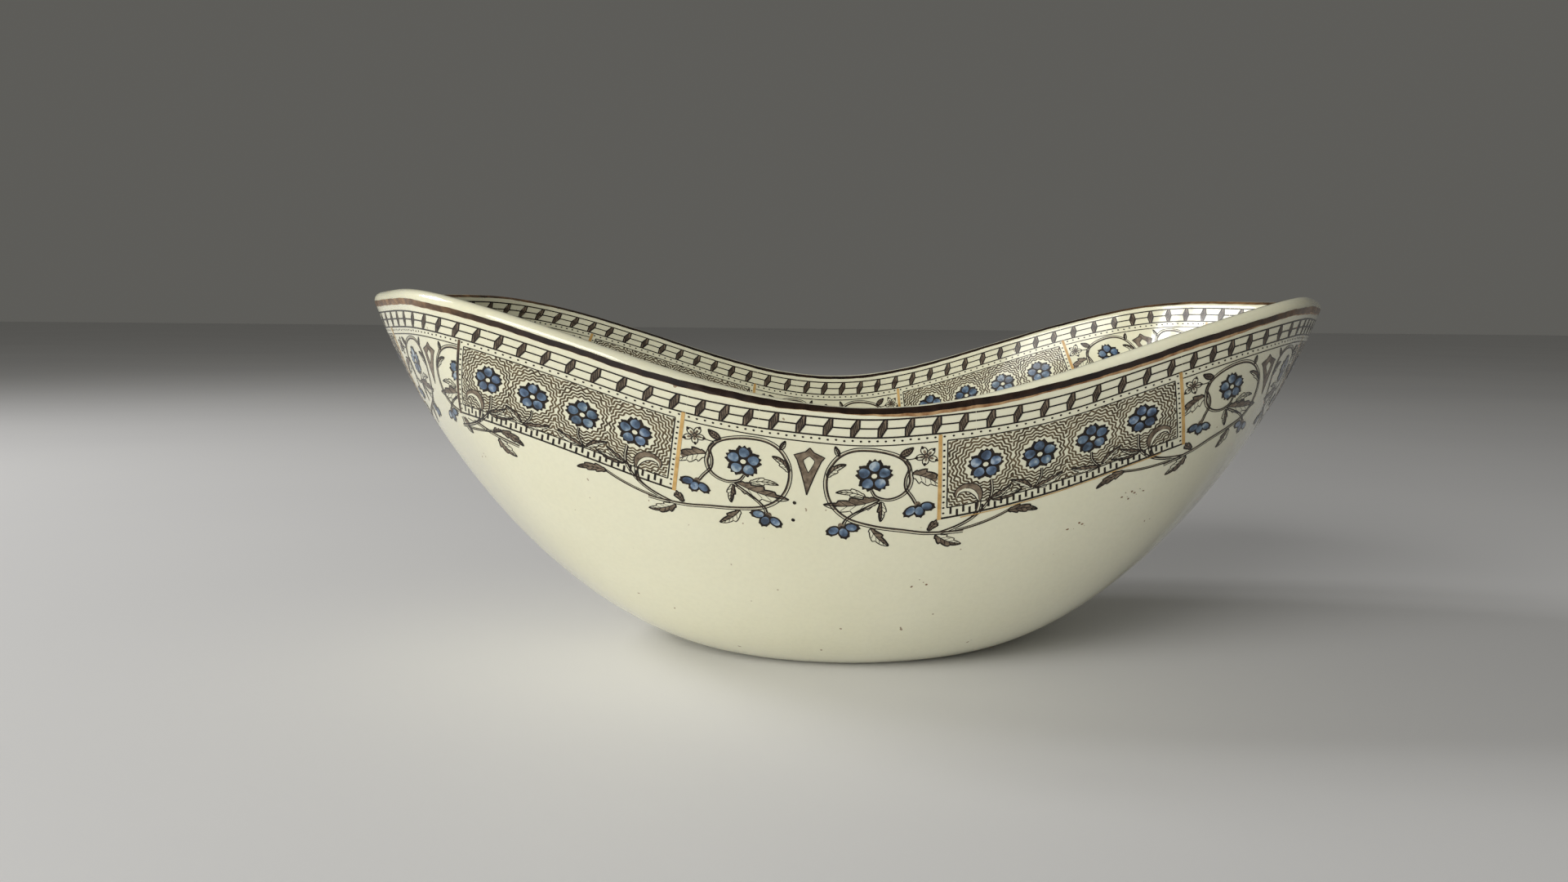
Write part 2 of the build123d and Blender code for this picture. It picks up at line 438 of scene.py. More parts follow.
def flower(pen, middle, turn, rows=3):
    """Five blue petals on a dark toothed disc, round a pale pistil."""
    size = 3.8
    middle = np.asarray(middle, float)
    angles = np.linspace(0, 2 * math.pi, 120, endpoint=False)
    phase = np.mod(5 * (angles - turn) / (2 * math.pi) + 0.5, 1) - 0.5
    notch = np.clip((np.abs(phase) - 0.36) / 0.1, 0, 1)
    teeth = triangle_wave(4.3 * phase)
    reach = size * (1.0 + 0.08 * teeth - 0.22 * notch)
    rim = np.stack([np.cos(angles), np.sin(angles)], axis=1)
    pen.strip("ink", middle + rim * 0.2, middle + rim * reach[:, None], rows, closed=True)
    for k in range(5):
        angle = turn + 2 * math.pi * k / 5
        blue_petal(pen, middle, size * 0.56, angle, (size * 0.31, size * 0.295))
    pen.blob("pistil", middle, (size * 0.16, size * 0.15), points=12)


def blue_petal(pen, middle, reach, angle, size):
    spot = np.asarray(middle, float) + reach * heading(angle)
    pen.blob("blue", spot, size, angle, edge=lambda a: 1 + 0.12 * np.cos(a) + 0.05 * np.sin(3 * a))


def half_flower(pen, middle, toward, spread=1.0):
    """Three blue petals of a flower seen from the side, fanned about the direction toward."""
    size = 1.7
    middle = np.asarray(middle, float)
    for k in (-1, 0, 1):
        angle = toward + k * spread
        reach = size * (1.3 - 0.2 * (k == 0))
        spot = middle + reach * heading(angle)
        pen.blob("ink", spot, (size * 0.98, size * 0.72), angle, points=24,
                 edge=lambda a: 1 + 0.14 * np.maximum(np.cos(a), 0) * triangle_wave(a * 8 / math.pi))
        pen.blob("blue", spot - 0.12 * heading(angle), (size * 0.66, size * 0.5), angle)
        pen.line("ink", [middle, spot], 0.16)
    pen.blob("wash", middle, (size * 0.5, size * 0.4), toward)


def leaf(pen, base, tip, width, bend=0.0, teeth=3, shade=1, paper=False):
    """Lobed leaf from base to tip, its halves outlined and ribbed, and one of them shaded.

    shade is the dark half, 1 or -1; 0 darkens both and 2 neither.
    """
    base, tip = np.asarray(base, float), np.asarray(tip, float)
    t = np.linspace(0, 1, 31)
    chord = tip - base
    normal = np.array([-chord[1], chord[0]]) / np.linalg.norm(chord)
    axis = base + chord * t[:, None] + normal * (bend * 4 * t * (1 - t))[:, None]
    across = sideways(axis)
    body = np.sin(math.pi * t ** 0.8) ** 0.85
    lobes = 1 - 0.42 * np.mod(-t * teeth, 1) * (t > 0.12) * (t < 0.97) if teeth else 1
    half = width / 2 * body * lobes
    edges = {side: axis + across * (side * half)[:, None] for side in (-1, 1)}
    if paper:
        pen.strip("paper", edges[-1], edges[1], rows=2)
    for side in (-1, 1):
        dark = shade in (side, 0)
        if dark:
            pen.strip("wash", axis, edges[side])
        pen.stroke("ink", edges[side], 0.22 + 0.14 * dark)
        for k in (7, 12, 17, 22):
            rib = [axis[k], axis[k + 4] + (edges[side][k + 4] - axis[k + 4]) * 0.8]
            pen.stroke("ink", along(rib, 2), 0.16 if dark else 0.1)
    pen.stroke("ink", axis, VEIN_INK)


def stem(pen, points, gap=0.7, taper=None):
    """Double-lined vine, shaded on one side."""
    curve = spline(points)
    across = sideways(curve)
    share = np.ones(len(curve)) if taper is None else np.linspace(*taper, len(curve))
    offset = across * (gap / 2 * share)[:, None]
    pen.strip("wash", curve, curve + offset)
    pen.stroke("ink", curve + offset, VINE_INK[0])
    pen.stroke("ink", curve - offset, VINE_INK[1])


def outline_flower(pen, middle):
    """Small flower with plain petals, seen at an angle."""
    size = 2.3
    middle = np.asarray(middle, float)
    for k, reach in enumerate((1.0, 0.85, 1.1, 0.8, 0.95)):
        angle = -2.0 + k * 1.26
        spot = middle + size * 0.62 * reach * heading(angle)
        angles = np.linspace(0, 2 * math.pi, 15, endpoint=False)
        ring = np.stack([np.cos(angles) * 0.4, np.sin(angles) * 0.3], axis=1) * size
        turned = ring @ np.array([[math.cos(angle), math.sin(angle)],
                                  [-math.sin(angle), math.cos(angle)]])
        pen.stroke("ink", spot + turned, 0.22, closed=True)
        pen.blob("ink", spot + turned[0] * 0.95, (0.42, 0.3), angle, points=8)
        pen.blob("wash", spot - turned[0] * 0.35, (0.5, 0.3), angle, points=8)
    pen.blob("wash", middle, (0.5, 0.45), points=10)


def kite(pen):
    """Dark kite that hangs between two scrolls, with a pale window."""
    half = np.array([(0, 7.4), (0.9, 8.4), (3.3, 9.4), (2.6, 10.4), (1.5, 13.5), (0.6, 16.5), (0, 18.9)])
    hole = np.array([(0, 9.3), (0.5, 9.7), (1.2, 10.4), (1.1, 11.0), (0.7, 11.9), (0.3, 12.8), (0, 13.4)])
    for side in (-1, 1):
        rim, window = half * (side, 1), hole * (side, 1)
        pen.strip("wash", rim, window, rows=3)
        pen.stroke("ink", along(rim, 0.8), 0.26)
        pen.stroke("ink", along(window, 0.8), 0.16)


def scroll(pen):
    """Half of a pair of scrolls, drawn to the right of its kite."""
    loop = [(33.0, 30.3), (29.7, 29.9), (24.6, 28.9), (19.9, 27.4), (13.8, 25.8),
            (8.6, 23.9), (5.2, 20.6), (3.8, 16.4), (4.1, 12.3), (6.1, 8.9), (9, 7.2),
            (12.5, 6.9), (16.1, 7.5), (19.2, 8.8), (21.0, 10.7), (21.6, 13.2)]
    stem(pen, loop)
    stem(pen, [(21.6, 13.2), (21.7, 15.2), (20.9, 17.2), (19.2, 18.6), (16.8, 19.1), (14.4, 18.2),
               (13.4, 16.6)], taper=(1.1, 0.6))
    stem(pen, [(20.3, 9.9), (21.3, 11.8), (20.6, 14.2), (20.7, 16.6), (22.0, 18.9), (22.8, 20.6)], gap=0.5)
    stem(pen, [(15.4, 19.3), (12.4, 21.1), (10.3, 22.5), (8.6, 24.1), (8.0, 25.4)], gap=0.5)
    pen.stroke("ink", spline([(19.0, 8.6), (20.9, 9.6), (23.6, 9.3)]), 0.24)
    flower(pen, (13.9, 13.1), turn=-math.pi / 2)
    outline_flower(pen, (24.9, 9.2))
    half_flower(pen, (23.2, 21.0), 1.35)
    half_flower(pen, (7.6, 25.9), 1.25, spread=1.15)
    leaf(pen, (19.3, 8.5), (22.0, 6.9), 1.5, bend=0.2, teeth=0, shade=0)
    leaf(pen, (6.2, 8.7), (5.3, 6.5), 1.0, teeth=0, shade=1)
    leaf(pen, (21.9, 13.2), (28.0, 17.0), 4.0, bend=-0.6, teeth=3, shade=-1)
    leaf(pen, (25.6, 28.4), (28.8, 25.4), 1.9, bend=-0.3, teeth=2, shade=0)
    leaf(pen, (27.2, 29.9), (32.6, 34.0), 3.0, bend=0.5, teeth=3, shade=1)
    leaf(pen, (13.6, 26.3), (17.5, 31.3), 2.7, bend=0.4, teeth=2, shade=-1)
    leaf(pen, (15.6, 19.5), (15.6, 24.6), 1.9, bend=-0.2, teeth=2, shade=1)
    leaf(pen, (15.0, 18.9), (3.6, 20.8), 4.2, bend=-0.7, teeth=4, shade=1)
    leaf(pen, (12.2, 18.2), (6.0, 17.5), 2.0, bend=0.6, teeth=2, shade=2)
    leaf(pen, (4.1, 13.9), (7.9, 10.6), 2.0, bend=-0.6, teeth=2, shade=-1)


def wavy_ground(pen, left, right, flowers, spacing):
    """Wavy rings round each flower, each flower keeping to its own cell of the panel."""
    margin = 0.15
    overlap = 0.1
    top = FRAME_TOP + margin
    bottom = FRAME_BOTTOM - margin
    for k, (x, y) in enumerate(flowers):
        low = left + margin if k == 0 else x - spacing / 2 - overlap
        high = right - margin if k == len(flowers) - 1 else x + spacing / 2 + overlap
        for radius in np.arange(4.75, 17.5, 0.79):
            waves = 18 if radius < 6.5 else 28 if radius < 10 else 44
            angles = np.linspace(0, 2 * math.pi, waves * 6 + 1)
            reach = radius + 0.25 * np.sin(angles * waves + 0.7 * k)
            points = np.stack([x + np.cos(angles) * reach, y + np.sin(angles) * reach], axis=1)
            inside = ((points[:, 0] > low) & (points[:, 0] < high)
                      & (points[:, 1] > top) & (points[:, 1] < bottom))
            breaks = np.flatnonzero(np.diff(inside.astype(int))) + 1
            for run in np.split(np.arange(len(points)), breaks):
                if inside[run[0]] and len(run) > 2:
                    pen.stroke("ground", points[run], 0.43)


def comb(pen, left, right):
    """Fret of short teeth between the ground and the panel's bottom line."""
    pen.line("ink", [(left, FRAME_BOTTOM), (right, FRAME_BOTTOM)], 0.32)
    count = int((right - left - 1.2) / COMB_PITCH)
    for k in range(count + 1):
        x = left + COMB_START + k * COMB_PITCH
        if k % 2:
            pen.line("ink", [(x, FRAME_BOTTOM + COMB_GAP), (x, PANEL_BOTTOM)], COMB_INK)
        else:
            pen.line("ink", [(x, FRAME_BOTTOM), (x, PANEL_BOTTOM - COMB_GAP)], COMB_INK)


def spiral_leaf(pen):
    """Curled leaf at the lower end of a panel, with its stem across the comb."""
    axis = spline([(9.0, 22.7), (8.6, 20.6), (7.4, 19.0), (5.8, 18.6), (4.4, 19.3), (4.1, 20.6)], 0.4)
    t = np.linspace(0, 1, len(axis))
    half = 0.25 + 1.15 * np.sin(math.pi * t ** 0.9)
    across = sideways(axis)
    left = axis - across * (half * 0.7)[:, None]
    right = axis + across * half[:, None]
    pen.strip("paper", left, right, rows=2)
    pen.strip("wash", axis, right, rows=2)
    for edge in (left, right):
        pen.stroke("ink", edge, 0.24)
    pen.stroke("ink", axis[: len(axis) * 2 // 3], 0.14)
    panel_stem(pen, [(9.0, 22.5), (8.8, 24.5), (8.0, 26.5), (6.0, 27.9), (3.4, 28.9), (0.6, 29.6)])


def panel_stem(pen, points, gap=0.7):
    """Vine that crosses the panel's ground and comb: its core hides what is under it."""
    curve = spline(points)
    across = sideways(curve) * (gap / 2)
    pen.strip("paper", curve - across, curve + across)
    stem(pen, points, gap)


def panel_half(pen):
    """Leaves and vines over the lower part of a panel, from its left end to its middle."""
    spiral_leaf(pen)
    panel_stem(pen, [(11.6, 17.6), (11.7, 20.6), (11.2, 22.8), (9.6, 25.2), (7.2, 27.3), (3.6, 28.9)], 0.5)
    leaf(pen, (11.3, 22.6), (15.9, 19.9), 1.7, bend=0.5, teeth=2, shade=-1, paper=True)
    leaf(pen, (11.6, 22.8), (18.2, 21.9), 1.8, bend=0.5, teeth=3, shade=1, paper=True)
    panel_stem(pen, [(22.6, 17.6), (22.4, 20.0), (20.8, 22.9)], 0.4)
    leaf(pen, (20.2, 22.4), (15.8, 18.9), 1.8, bend=0.4, teeth=2, shade=1, paper=True)
    leaf(pen, (21.0, 22.7), (27.2, 20.4), 2.2, bend=0.5, teeth=3, shade=-1, paper=True)
    stem(pen, [(4.0, 29.7), (8.2, 29.3), (12.0, 28.5), (15.4, 27.3)], gap=0.5)
    leaf(pen, (15.2, 27.4), (21.6, 29.6), 2.6, bend=-0.6, teeth=3, shade=0)


def panel(pen, start, length, bars):
    """Rectangle of wavy ground with four flowers, framed in dots, a comb and two bars."""
    left, right = PANEL_MARGIN, length - PANEL_MARGIN
    spacing = length * FLOWER_SPACING
    pen.at(start)
    flowers = [(length / 2 + (k - 1.5) * spacing, FLOWER_ROW + 0.5 * (k in (1, 2))) for k in range(4)]
    wavy_ground(pen, left, right, flowers, spacing)
    for k, middle in enumerate(flowers):
        flower(pen, middle, turn=-math.pi / 2 + 0.12 * math.sin(7 * k + start), rows=2)
    pen.line("ink", [(left, FRAME_BOTTOM), (left, FRAME_TOP), (right, FRAME_TOP),
                     (right, FRAME_BOTTOM)], FRAME_INK)
    comb(pen, left, right)
    pen.line("ink", [(0.3, PANEL_BOTTOM), (length - 0.3, PANEL_BOTTOM)], 0.5)
    for x in (1.35, length - 1.35):
        for k in range(13):
            pen.blob("ink", (x, FRAME_TOP + 0.9 + k * 1.45), (0.3, 0.26), points=6)
    for x, colour in zip((BAR_PLACE, length - BAR_PLACE), bars):
        top = (x, KEY_LINES[2] + 0.3 * (x == BAR_PLACE))
        pen.stroke(colour, along([top, (x, PANEL_BOTTOM + 0.3)]), BAR_WIDTH)
    panel_half(pen.at(start))
    panel_half(pen.at(start + length, -1))


def scroll_pair(pen, place, length, squeezed):
    """Kite between two mirrored scrolls, squeezed or trimmed where length is short."""
    full = 2 * SCROLL_LENGTH
    share = TRIMMED_KITE if is_trimmed(length, squeezed) else 0.5
    middle = place + length * share
    for mirror, room in ((-1, length * share), (1, length * (1 - share))):
        if squeezed:
            scroll(pen.at(middle, mirror, length / full))
        else:
            scroll(pen.at(middle, mirror, limit=room + 0.2))
    kite(pen.at(middle))
    pen.at(place)
    pen.line("ink", [(0, FRAME_TOP), (length, FRAME_TOP)], 0.26)


def is_trimmed(length, squeezed):
    return not squeezed and length != 2 * SCROLL_LENGTH


def key_strips(pen, place, length):
    """Key band in three strips, and the dots under it, over a pair of scrolls and its panel."""
    unit_length = length + PANEL_LENGTH
    pen.at(place)
    joints = (0.0, length * 0.29, length + 8.3, unit_length)
    gap = 0.05
    for a, b in zip(joints[:-1], joints[1:]):
        count = max(1, round((b - a) / KEY_PITCH))
        pitch = (b - a - 2 * gap) / count
        key_band(pen, a + gap, b - gap, a + pitch * 0.4, pitch)
    dots(pen, 0.8, length - 0.6, 1.8, DOT_DEPTH)
    dots(pen, length + 1.4, unit_length - 1.4, 2.0, DOT_DEPTH)


def border(pen, shift, cuts, squeezed):
    """The whole ring: kites with their scrolls and panels between, over one key band.

    The last pairs of scrolls, as many as cuts, share what the ring lacks: they are
    squeezed into their places, or trimmed at the neighbouring panels.  The bar beside a
    trimmed pair is painted dark.
    """
    full = 2 * SCROLL_LENGTH
    short = BORDER_COUNT * (full + PANEL_LENGTH) - pen.chart.length
    lengths = [full - short / cuts * (i >= BORDER_COUNT - cuts) for i in range(BORDER_COUNT)]
    place = shift - lengths[0] / 2
    for length in lengths:
        scroll_pair(pen, place, length, squeezed)
        first_bar = "rim" if is_trimmed(length, squeezed) else "ochre"
        panel(pen, place + length, PANEL_LENGTH, (first_bar, "ochre"))
        key_strips(pen, place, length)
        place += length + PANEL_LENGTH
    if not squeezed:
        pen.at(shift + full / 2)
        pen.line("ochre", [(5, PANEL_BOTTOM + 0.6), (50, PANEL_BOTTOM + 0.45)], 0.26)


def rim_line(pen, depths, widths, worn_beside):
    """Painted line round the lip, its edges a little uneven."""
    pen.at(0.0)
    pen.hanging = False
    u = np.linspace(0, pen.chart.length, LINE_POINTS, endpoint=False)
    from_side = pen.from_side(u, LINE_SPAN)
    turns = 2 * math.pi * u / pen.chart.length
    ripple = 0.05 * np.sin(37 * turns) + 0.04 * np.sin(83 * turns + 1) + 0.03 * np.sin(171 * turns)
    v = depths[0] + (depths[1] - depths[0]) * from_side + 0.06 * np.sin(23 * turns)
    half = (widths[0] + (widths[1] - widths[0]) * from_side) / 2
    upper = np.stack([u, v - half * (1 + ripple)], axis=1)
    lower = np.stack([u, v + half * (1 - 1.5 * ripple)], axis=1)
    pen.strip("rim", upper, lower, rows=2, closed=True)
    if worn_beside:
        feather = 0.7 * np.clip(np.sin(2 * turns + 0.4) + 0.5 * np.sin(11 * turns), 0.1, 1)
        fringe = np.stack([u, lower[:, 1] + feather], axis=1)
        pen.strip("worn", lower, fringe, closed=True)
    pen.hanging = True


def stains(pen):
    """Small brown specks in the glaze, and two stray dots of ink beside the first kite."""
    pen.at(0.0)
    pen.hanging = False
    clusters = [((58, 39), 9, 3.2), ((46, 43), 5, 2.6), ((-88, 41), 3, 2.0), ((12, 44), 4, 3.0),
                ((150, 38), 6, 4.0), ((-200, 40), 7, 3.5), ((250, 36), 5, 3.0)]
    for (u, v), count, spread in clusters:
        for k in range(count):
            angle, reach = 2.4 * k, spread * math.sqrt((k + 0.5) / count)
            spot = (u + math.cos(angle) * reach, min(v + math.sin(angle) * reach * 0.5, 45))
            size = 0.16 + 0.12 * math.sin(3 * k + u)
            pen.blob("stain", spot, (abs(size) + 0.06, abs(size) * 0.7 + 0.06), angle, points=7)
    for v in (21.5, 26.1):
        pen.blob("ink", (-14.5, v), (0.4, 0.45), points=9)
    pen.hanging = True


# --- the glazed body ------------------------------------------------------------------
def bowl_rows(phi):
    """Rings of points from the middle of the underside, over the lip, to the inside floor."""
    def flat_ring(inset, height):
        x = (FOOT_LENGTH / 2 - inset) * np.cos(phi)
        y = (FOOT_WIDTH / 2 - inset) * np.sin(phi)
        return np.stack([x, y, np.full_like(phi, height)], axis=1)

    sunk = FOOT_RING
    rows = [flat_ring(inset, FOOT_SINK) for inset in (24, 20, 15, 10, sunk + 2, sunk + 0.9)]
    for angle in np.linspace(0.2, math.pi / 2, 4):
        inset = FOOT_ROUND * (1 - math.sin(angle))
        rows.append(flat_ring(sunk + inset, FOOT_SINK - FOOT_ROUND * (1 - math.cos(angle))))
    for angle in np.linspace(math.pi / 2, 0.2, 4):
        inset = FOOT_ROUND * (1 - math.sin(angle))
        rows.append(flat_ring(sunk - inset, FOOT_ROUND * (1 - math.cos(angle))))
    rows += [flat_ring(inset, 0.0) for inset in (sunk - 1.5, sunk / 2, 1.0)]
    base = outer(phi, 0.0)
    rows.append(base * (1, 1, 0))
    steps = 1 - (1 - np.linspace(0, 1, 62)[1:]) ** 1.25
    rows += [outer(phi, t) for t in steps[:-1]]
    rows += [lip(phi, angle)[0] for angle in np.linspace(0, math.pi, 15)]
    rows += [inner(phi, t) for t in steps[-2::-1]]
    floor = inner(phi, 0.0) * (1, 1, 0) + (0, 0, WALL)
    rows += [floor * (share, share, 1) for share in (1.0, 0.8, 0.6, 0.4, 0.2)]
    return rows


def make_bowl(material):
    """One closed mesh of rings, with a fan at the middle of the base and of the floor."""
    columns = 480
    phi = np.linspace(0, 2 * math.pi, columns, endpoint=False)
    rows = bowl_rows(phi)
    points = np.vstack([[(0, 0, FOOT_SINK)], *rows, [(0, 0, WALL)]])
    index = 1 + np.arange(len(rows) * columns).reshape(len(rows), columns)
    after = np.roll(index, -1, axis=1)
    quads = np.stack([index[:-1], after[:-1], after[1:], index[1:]], -1).reshape(-1, 4)
    faces = [tuple(face) for face in quads]
    faces += [(0, after[0, k], index[0, k]) for k in range(columns)]
    last = len(points) - 1
    faces += [(last, index[-1, k], after[-1, k]) for k in range(columns)]
    bowl = new_piece("glazed_body", points, faces, material)
    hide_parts("bowl_body")


# --- materials ------------------------------------------------------------------------
class Paint:
    """Principled material whose colour, gloss and relief come from noise in object space."""

    def __init__(self, name, **sockets):
        self.material = bpy.data.materials.new(name)
        self.material.use_nodes = True
        self.tree = self.material.node_tree
        self.shader = self.tree.nodes["Principled BSDF"]
        self.place = self.tree.nodes.new("ShaderNodeTexCoord").outputs["Object"]
        for socket, value in sockets.items():
            self.shader.inputs[socket.replace("_", " ")].default_value = value

    def link(self, source, target):
        self.tree.links.new(source, target)

    def noise(self, scale, detail=3.0, roughness=0.5):
        """Noise whose blotches are about 1/scale metres across."""
        node = self.tree.nodes.new("ShaderNodeTexNoise")
        node.inputs["Scale"].default_value = scale
        node.inputs["Detail"].default_value = detail
        node.inputs["Roughness"].default_value = roughness
        self.link(self.place, node.inputs["Vector"])
        return node.outputs["Fac"]

    def ramp(self, source, *stops):
        """Colour ramp over source; each stop is (position, colour or grey)."""
        node = self.tree.nodes.new("ShaderNodeValToRGB")
        elements = node.color_ramp.elements
        while len(elements) < len(stops):
            elements.new(0.5)
        for element, (position, colour) in zip(elements, stops):
            element.position = position
            element.color = (*colour, 1) if isinstance(colour, tuple) else (colour,) * 3 + (1,)
        self.link(source, node.inputs["Fac"])
        return node.outputs["Color"]

    def mix(self, share, first, second, mode="MIX"):
        """Mixes two colours, each a socket or a tuple; share is a socket or a number."""
        node = self.tree.nodes.new("ShaderNodeMix")
        node.data_type = "RGBA"
        node.blend_type = mode
        for socket, value in (("Factor", share), ("A", first), ("B", second)):
            target = next(s for s in node.inputs if s.name == socket and s.type in ("RGBA", "VALUE")
                          and (socket == "Factor") == (s.type == "VALUE"))
            if isinstance(value, bpy.types.NodeSocket):
                self.link(value, target)
            else:
                target.default_value = (*value, 1) if isinstance(value, tuple) else value
        return next(s for s in node.outputs if s.type == "RGBA")

    def colour(self, source):
        self.link(source, self.shader.inputs["Base Color"])

    def gloss(self, source, low, high):
        """Roughness that follows source between low and high."""
        self.link(self.ramp(source, (0.3, low), (0.7, high)), self.shader.inputs["Roughness"])

    def relief(self, source, depth):
        """Bump of the given depth in metres."""
        node = self.tree.nodes.new("ShaderNodeBump")
        node.inputs["Strength"].default_value = 1.0
        node.inputs["Distance"].default_value = depth
        self.link(source, node.inputs["Height"])
        self.link(node.outputs["Normal"], self.shader.inputs["Normal"])


def glaze_material():
    paint = Paint("cream_glaze", Coat_Weight=0.4, Coat_Roughness=0.04, IOR=1.48,
                  Subsurface_Weight=0.08, Subsurface_Scale=0.002)
    paint.shader.inputs["Subsurface Radius"].default_value = (1.0, 0.8, 0.5)
    clouds = paint.ramp(paint.noise(14, 4, 0.6), (0.3, (0.77, 0.75, 0.55)), (0.7, (0.83, 0.815, 0.635)))
    fine = paint.ramp(paint.noise(900, 2, 0.5), (0.35, 0.93), (0.6, 1.0))
    body = paint.mix(0.35, clouds, fine, "MULTIPLY")
    specks = paint.ramp(paint.noise(430, 1.5, 0.4), (0.77, 0.0), (0.79, 0.8))
    paint.colour(paint.mix(specks, body, (0.23, 0.14, 0.07)))
    paint.gloss(paint.noise(60, 3), 0.10, 0.2)
    paint.relief(paint.noise(38, 2.0), 0.00018)
    return paint.material


def printed_material(name, dark, light, scale, low, high):
    """Ink or wash under the glaze, uneven where the print took badly."""
    paint = Paint(name, Coat_Weight=0.1, Coat_Roughness=0.04, IOR=1.36)
    paint.colour(paint.ramp(paint.noise(scale, 3, 0.6), (low, dark), (high, light)))
    paint.gloss(paint.noise(120), 0.16, 0.3)
    paint.relief(paint.noise(700, 2), 0.00001)
    return paint.material


def blue_material():
    paint = Paint("steel_blue_enamel", Coat_Weight=0.3, Coat_Roughness=0.05)
    wide = paint.ramp(paint.noise(420, 2, 0.5), (0.34, (0.03, 0.05, 0.085)), (0.46, (0.07, 0.115, 0.19)),
                      (0.58, (0.14, 0.21, 0.31)), (0.7, (0.42, 0.49, 0.55)))
    drift = paint.ramp(paint.noise(45, 2), (0.4, (0.85, 0.9, 1.0)), (0.65, (0.95, 1.0, 0.86)))
    paint.colour(paint.mix(0.6, wide, drift, "MULTIPLY"))
    paint.gloss(paint.noise(200), 0.12, 0.28)
    paint.relief(paint.noise(900, 2), 0.00003)
    return paint.material


def rim_material():
    """Near-black brown, rubbed through to a lighter brown at the ends of the bowl."""
    paint = Paint("rim_brown", Coat_Weight=0.1, Coat_Roughness=0.1, IOR=1.4)
    split = paint.tree.nodes.new("ShaderNodeSeparateXYZ")
    paint.link(paint.place, split.inputs["Vector"])
    reach = paint.tree.nodes.new("ShaderNodeMath")
    reach.operation = "ABSOLUTE"
    paint.link(split.outputs["X"], reach.inputs[0])
    end = paint.ramp(reach.outputs[0], (0.078, 0.0), (0.112, 1.0))
    rubbed = paint.ramp(paint.noise(70, 3, 0.7), (0.4, 0.15), (0.6, 1.0))
    share = paint.mix(1.0, end, rubbed, "MULTIPLY")
    streaks = paint.ramp(paint.noise(300, 3), (0.35, (0.008, 0.004, 0.003)), (0.7, (0.028, 0.014, 0.008)))
    bare = paint.ramp(paint.noise(500, 3), (0.35, (0.17, 0.085, 0.03)), (0.65, (0.34, 0.19, 0.08)))
    paint.colour(paint.mix(share, streaks, bare))
    paint.gloss(paint.noise(150), 0.14, 0.34)
    paint.relief(paint.noise(800, 2), 0.00002)
    return paint.material


def floor_material():
    paint = Paint("pale_floor", Roughness=0.55)
    paint.colour(paint.ramp(paint.noise(2.5, 3), (0.3, (0.74, 0.74, 0.75)), (0.7, (0.78, 0.78, 0.785))))
    return paint.material


# --- studio ---------------------------------------------------------------------------
def make_floor():
    bpy.ops.mesh.primitive_plane_add(size=14, location=(0, 3.0, 0))
    floor = bpy.context.object
    floor.name = "floor"
    floor.data.materials.append(floor_material())


def make_light(name, place, target, size, power, colour):
    light = bpy.data.lights.new(name, "AREA")
    light.shape = "RECTANGLE"
    light.size, light.size_y = size
    light.energy = power
    light.color = colour
    lamp = bpy.data.objects.new(name, light)
    lamp.location = place
    lamp.rotation_euler = (Vector(target) - Vector(place)).to_track_quat("-Z", "Y").to_euler()
    bpy.context.scene.collection.objects.link(lamp)


def make_lights():
    make_light("window_left", (-0.93, 0.10, 0.70), (0.09, 0.03, 0.085), (0.17, 0.34), 2.6, (1.0, 0.99, 0.97))
    make_light("window_right", (-0.91, 0.30, 0.70), (0.09, 0.03, 0.085), (0.13, 0.34), 2.1, (1.0, 0.99, 0.97))
    make_light("soft_front", (-1.05, -1.35, 0.7), (0, 0, 0.04), (1.2, 1.0), 27.0, (1.0, 0.985, 0.95))
    make_light("soft_fill", (0.9, -1.2, 0.9), (0, 0, 0.04), (1.4, 1.0), 0.6, (0.95, 0.97, 1.0))
    world = bpy.data.worlds.new("room")
    world.use_nodes = True
    world.node_tree.nodes["Background"].inputs["Color"].default_value = (0.50, 0.49, 0.45, 1)
    world.node_tree.nodes["Background"].inputs["Strength"].default_value = 0.22
    bpy.context.scene.world = world
    bpy.context.scene.view_settings.view_transform = "Standard"


def make_camera():
    """Phone-like wide view from just over the rim, a little left of the middle."""
    camera = bpy.data.objects.new("camera", bpy.data.cameras.new("camera"))
    camera.data.lens = 26.25
    camera.data.sensor_width = 36
    yaw, pitch, roll = -0.01426, math.radians(6.106), 0.009
    turn = Matrix.Rotation(yaw, 4, "Z") @ Matrix.Rotation(math.pi / 2 - pitch, 4, "X")
    turn = turn @ Matrix.Rotation(roll, 4, "Z")
    camera.matrix_world = Matrix.Translation((-0.02112, -0.30993, 0.08702)) @ turn
    camera.data.clip_start = 0.01
    bpy.context.scene.collection.objects.link(camera)
    bpy.context.scene.camera = camera


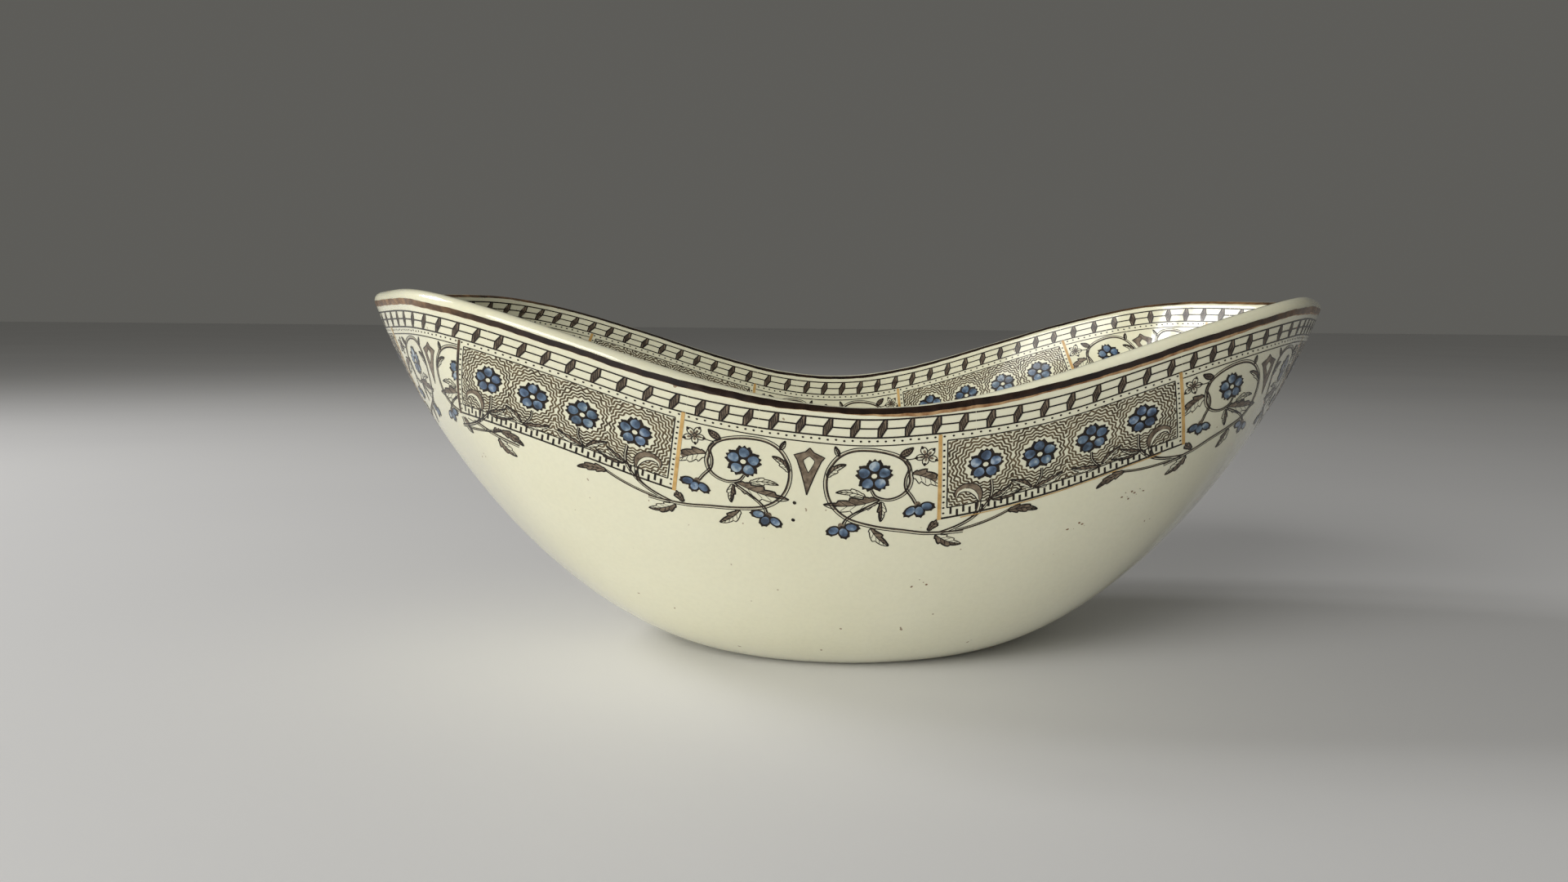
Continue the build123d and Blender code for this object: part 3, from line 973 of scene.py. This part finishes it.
# --- the whole bowl ---------------------------------------------------------------------
def decorate(name, side, middle, shift, cuts, line, paints):
    """Draws one side's border and line: side is 1 for the outside and -1 for the inside."""
    pen = Pen(Chart(side, middle))
    border(pen, shift, cuts, squeezed=side < 0)
    rim_line(pen, *line, worn_beside=side > 0)
    if side > 0:
        stains(pen)
    layers = (
        ("ground", "wavy_ground", GROUND_LIFT, "printed_transfer", ("panel_transfers",)),
        ("paper", "leaf_reserves", PAPER_LIFT, "cream_glaze", ()),
        ("wash", "leaf_washes", WASH_LIFT, "printed_transfer", ()),
        ("ink", "ink_lines", INK_LIFT, "printed_transfer", ("scroll_transfers",)),
        ("blue", "blue_petals", ENAMEL_LIFT, "printed_transfer", ()),
        ("ochre", "ochre_strokes", ENAMEL_LIFT, "ochre_enamel", ("ochre_bars",)),
        ("pistil", "flower_hearts", DOT_LIFT, "cream_glaze", ()),
        ("rim", "painted_line", ENAMEL_LIFT, "rim_brown", ("rim_line",)),
        ("worn", "worn_rim_edge", INK_LIFT, "rim_brown", ()),
        ("stain", "glaze_specks", INK_LIFT, "printed_transfer", ()),
    )
    for kind, piece, lift, slot, nodes in layers:
        if pen.flats[kind]:
            pen.make(kind, f"{name}_{piece}", lift, paints[kind], slot,
                     *(f"{name}_{node}" for node in nodes))


glaze = glaze_material()
paints = {
    "ground": printed_material("ground_brown", (0.05, 0.035, 0.018), (0.15, 0.11, 0.06), 260, 0.35, 0.7),
    "paper": glaze,
    "pistil": glaze,
    "wash": printed_material("leaf_wash", (0.085, 0.06, 0.04), (0.25, 0.195, 0.135), 650, 0.35, 0.65),
    "ink": printed_material("print_ink", (0.006, 0.004, 0.003), (0.03, 0.019, 0.012), 400, 0.4, 0.75),
    "blue": blue_material(),
    "ochre": printed_material("ochre_enamel", (0.48, 0.28, 0.08), (0.68, 0.45, 0.18), 350, 0.35, 0.65),
    "rim": rim_material(),
    "worn": printed_material("worn_brown", (0.22, 0.10, 0.04), (0.50, 0.33, 0.17), 300, 0.35, 0.65),
    "stain": printed_material("speck_brown", (0.12, 0.06, 0.03), (0.30, 0.17, 0.09), 900, 0.35, 0.65),
}
make_bowl(glaze)
decorate("outer", 1, FRONT, OUTER_SHIFT, OUTER_CUTS, OUTER_LINE, paints)
decorate("inner", -1, BACK, INNER_SHIFT, INNER_CUTS, INNER_LINE, paints)
make_floor()
make_lights()
make_camera()
